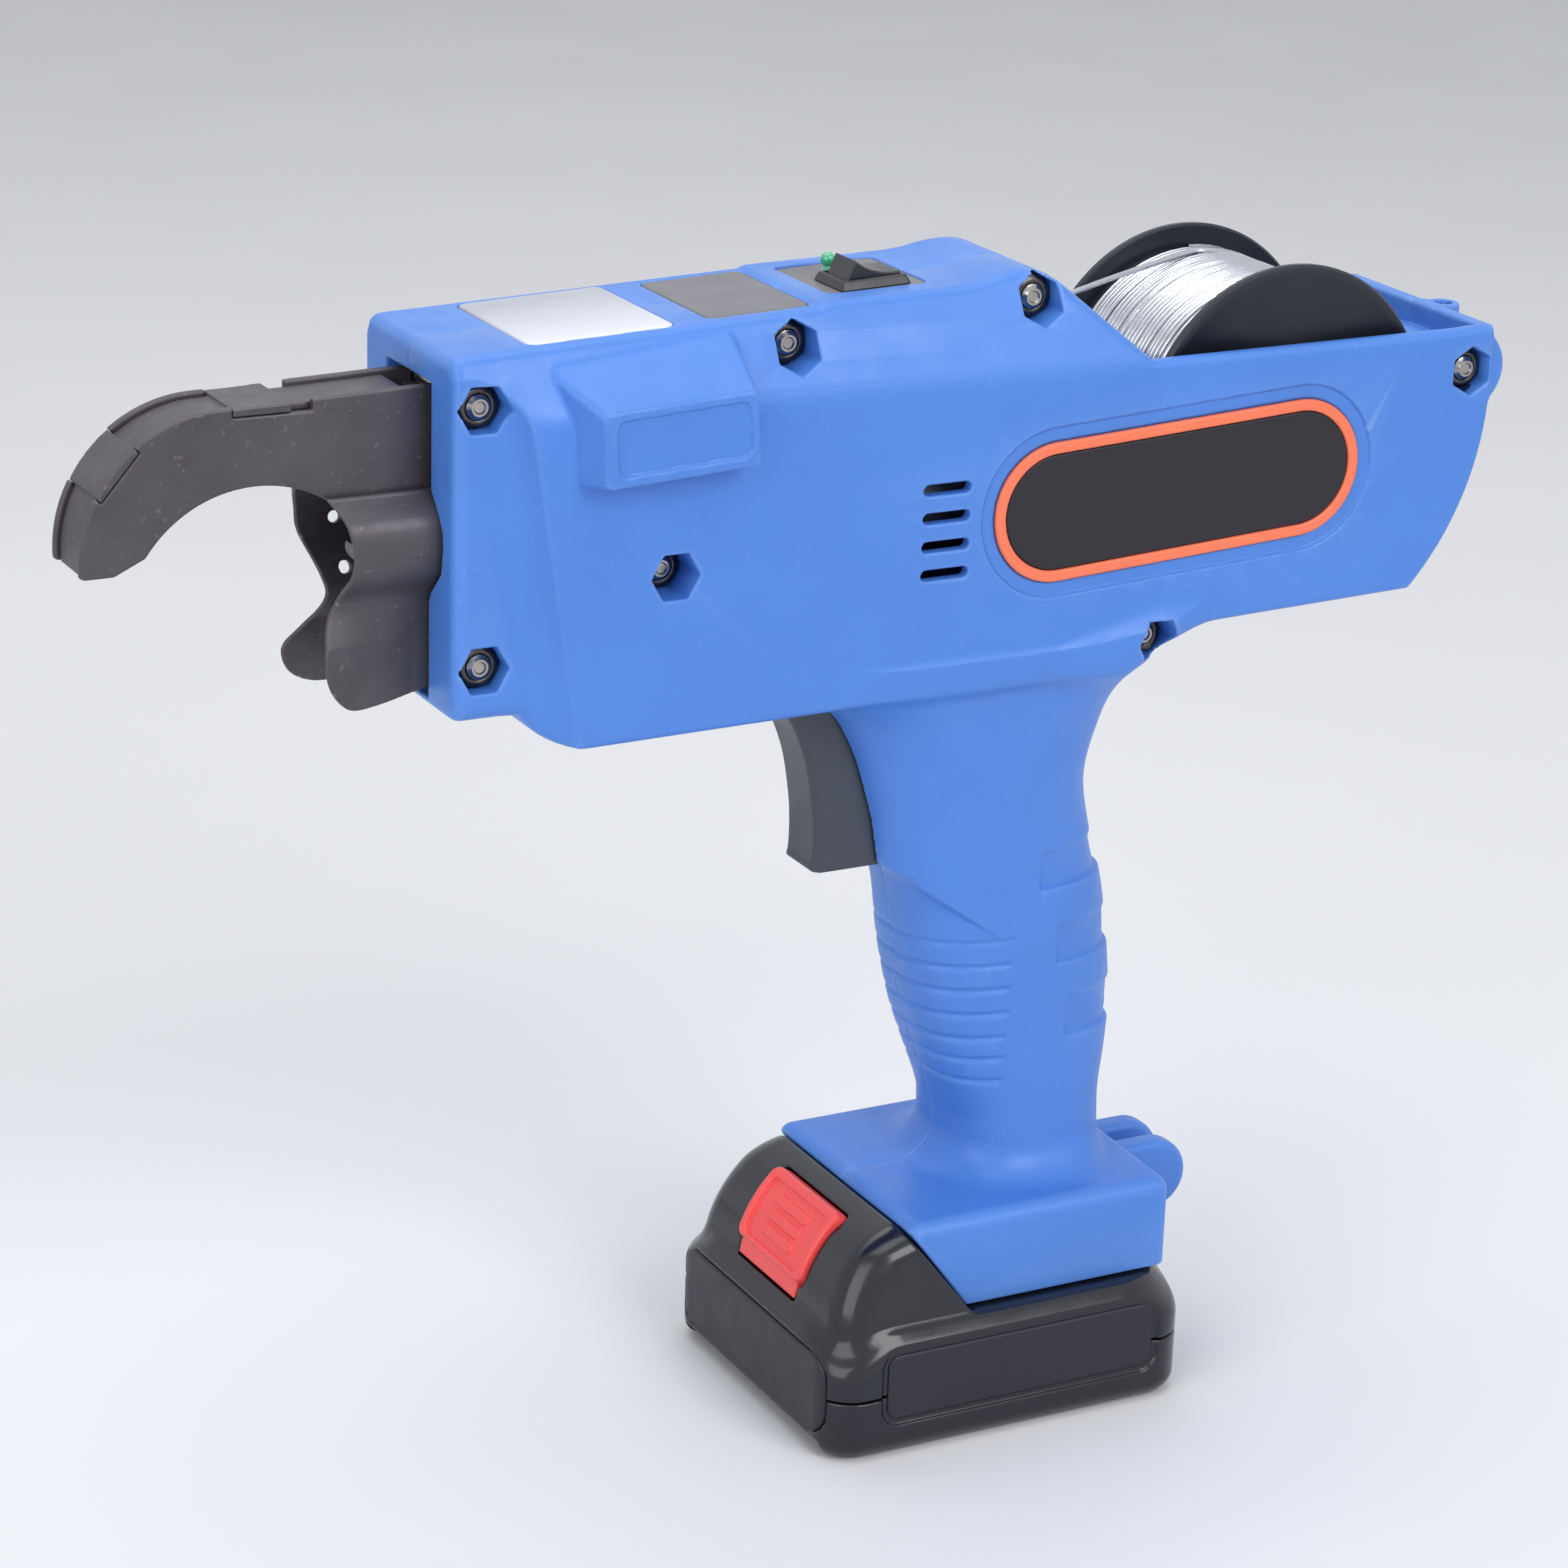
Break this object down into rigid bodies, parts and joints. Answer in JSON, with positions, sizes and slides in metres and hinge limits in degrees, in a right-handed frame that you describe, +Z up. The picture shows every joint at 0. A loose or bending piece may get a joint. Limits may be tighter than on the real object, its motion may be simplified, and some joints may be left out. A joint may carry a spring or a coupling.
{
  "type": "rebar tying tool",
  "caption": "Cordless rebar tying tool: pistol grip body with wire reel bay, curved guide arm, twist hook, trigger and slide-on battery.",
  "frame": {"origin": "centre of the battery's underside", "axes": "+Z up, the nose and guide arm towards -X, -Y is the tool's left side"},
  "size_m": [0.3052, 0.074, 0.2448],
  "materials": {
    "housing_blue": "satin moulded plastic with fine texture",
    "zinc_steel": "zinc plated steel",
    "badge_black": "bare black plate",
    "badge_orange": "orange rim",
    "window_grey": "pale translucent window",
    "board_green": "circuit board",
    "plate_grey": "grey plate",
    "switch_black": "black moulded plastic",
    "led_green": "green lamp dome",
    "arm_steel": "blackened steel",
    "machine_steel": "machined steel",
    "gear_brass": "brass",
    "gear_plastic": "off-white plastic",
    "spool_black": "dark plastic reel",
    "wire_steel": "bright tying wire",
    "trigger_grey": "dark grey plastic",
    "battery_black": "black moulded case",
    "button_red": "red plastic",
    "cell_wrap": "wrapped cells"
  },
  "bodies": {
    "housing": {"left_housing": "housing_blue", "right_housing": "housing_blue", "housing_bolts": "zinc_steel", "housing_nuts": "zinc_steel", "strap_pin": "zinc_steel", "lever_pin": "zinc_steel", "left_badge": "badge_black", "right_badge": "badge_black", "left_badge_border": "badge_orange", "right_badge_border": "badge_orange", "display_window": "window_grey", "display_board": "board_green", "control_board": "board_green", "label_plate": "plate_grey", "switch_plate": "plate_grey", "switch_bezel": "switch_black", "trigger_switch": "switch_black", "terminal_block": "switch_black", "status_led": "led_green", "arm_left_plate": "arm_steel", "arm_right_plate": "arm_steel", "arm_strip": "arm_steel", "lower_guide_left": "arm_steel", "lower_guide_right": "arm_steel", "arm_spacer": "machine_steel", "bearing_plate": "machine_steel", "gearbox_case": "machine_steel", "twist_motor": "machine_steel", "feed_bracket": "machine_steel", "feed_motor": "machine_steel", "wire_tube": "machine_steel", "spool_axle": "machine_steel", "wire_strand": "wire_steel"},
    "trigger": {"trigger": "trigger_grey"},
    "rocker": {"power_rocker": "switch_black"},
    "battery": {"battery_lower_case": "battery_black", "battery_upper_case": "battery_black", "battery_cells": "cell_wrap", "battery_contacts": "gear_brass"},
    "battery_button": {"battery_button": "button_red"},
    "spool": {"wire_spool": "spool_black", "wire_core": "wire_steel", "wire_winding": "wire_steel"},
    "twist_shaft": {"planet_carrier": "machine_steel"},
    "twist_hook": {"twist_hook": "arm_steel"},
    "sun_gear": {"sun_gear": "gear_brass"},
    "planet_1": {"planet_gear_1": "machine_steel"},
    "planet_2": {"planet_gear_2": "machine_steel"},
    "planet_3": {"planet_gear_3": "machine_steel"},
    "feed_roller": {"feed_roller": "machine_steel", "feed_gear": "gear_plastic"},
    "feed_pinion": {"feed_pinion": "gear_brass"},
    "pinch_lever": {"pinch_lever": "machine_steel"},
    "pinch_roller": {"pinch_roller": "machine_steel"}
  },
  "joints": [
    {"name": "trigger_pull", "type": "slide", "parent": "housing", "child": "trigger", "axis": [1, 0, 0], "range_m": [0, 0.006], "stiffness_N_per_m": 500},
    {"name": "rocker_tilt", "type": "hinge", "parent": "housing", "child": "rocker", "pos_m": [-0.0298, -0.0052, 0.24062], "axis": [0, 1, 0], "range_deg": [-20, 0]},
    {"name": "battery_slide", "type": "slide", "parent": "housing", "child": "battery", "axis": [-1, 0, 0], "range_m": [0, 0.085]},
    {"name": "button_press", "type": "slide", "parent": "battery", "child": "battery_button", "axis": [0.8329, 0, -0.5534], "range_m": [0, 0.0025], "stiffness_N_per_m": 600},
    {"name": "spool_spin", "type": "hinge", "parent": "housing", "child": "spool", "pos_m": [0.06, 0, 0.207], "axis": [0, 1, 0], "continuous": true},
    {"name": "twist_spin", "type": "hinge", "parent": "housing", "child": "twist_shaft", "pos_m": [0, 0, 0.2005], "axis": [1, 0, 0], "continuous": true},
    {"name": "hook_slide", "type": "slide", "parent": "twist_shaft", "child": "twist_hook", "axis": [-1, 0, 0], "range_m": [0, 0.008]},
    {"name": "sun_spin", "type": "hinge", "parent": "housing", "child": "sun_gear", "pos_m": [0, 0, 0.2005], "axis": [1, 0, 0], "continuous": true},
    {"name": "feed_spin", "type": "hinge", "parent": "housing", "child": "feed_roller", "pos_m": [-0.09, 0, 0.22], "axis": [0, 1, 0], "continuous": true},
    {"name": "pinion_spin", "type": "hinge", "parent": "housing", "child": "feed_pinion", "pos_m": [-0.07539, 0, 0.22652], "axis": [0, 1, 0], "continuous": true},
    {"name": "pinch_open", "type": "hinge", "parent": "housing", "child": "pinch_lever", "pos_m": [-0.076, 0, 0.2087], "axis": [0, 1, 0], "range_deg": [-2, 0], "stiffness_Nm_per_rad": 1, "springref_deg": 2.86},
    {"name": "pinch_spin", "type": "hinge", "parent": "pinch_lever", "child": "pinch_roller", "pos_m": [-0.09, 0, 0.2087], "axis": [0, 1, 0], "continuous": true},
    {"name": "planet_1_spin", "type": "hinge", "parent": "twist_shaft", "child": "planet_1", "pos_m": [0, 0.0081, 0.2005], "axis": [1, 0, 0], "continuous": true},
    {"name": "planet_2_spin", "type": "hinge", "parent": "twist_shaft", "child": "planet_2", "pos_m": [0, -0.00405, 0.20751], "axis": [1, 0, 0], "continuous": true},
    {"name": "planet_3_spin", "type": "hinge", "parent": "twist_shaft", "child": "planet_3", "pos_m": [0, -0.00405, 0.19349], "axis": [1, 0, 0], "continuous": true}
  ],
  "couplings": [
    {"joint": "sun_spin", "follows": "twist_spin", "ratio": 4.5},
    {"joint": "pinion_spin", "follows": "feed_spin", "ratio": -2.3333},
    {"joint": "pinch_spin", "follows": "feed_spin", "ratio": -1.7105},
    {"joint": "planet_1_spin", "follows": "twist_spin", "ratio": -2.8},
    {"joint": "planet_2_spin", "follows": "twist_spin", "ratio": -2.8},
    {"joint": "planet_3_spin", "follows": "twist_spin", "ratio": -2.8}
  ]
}
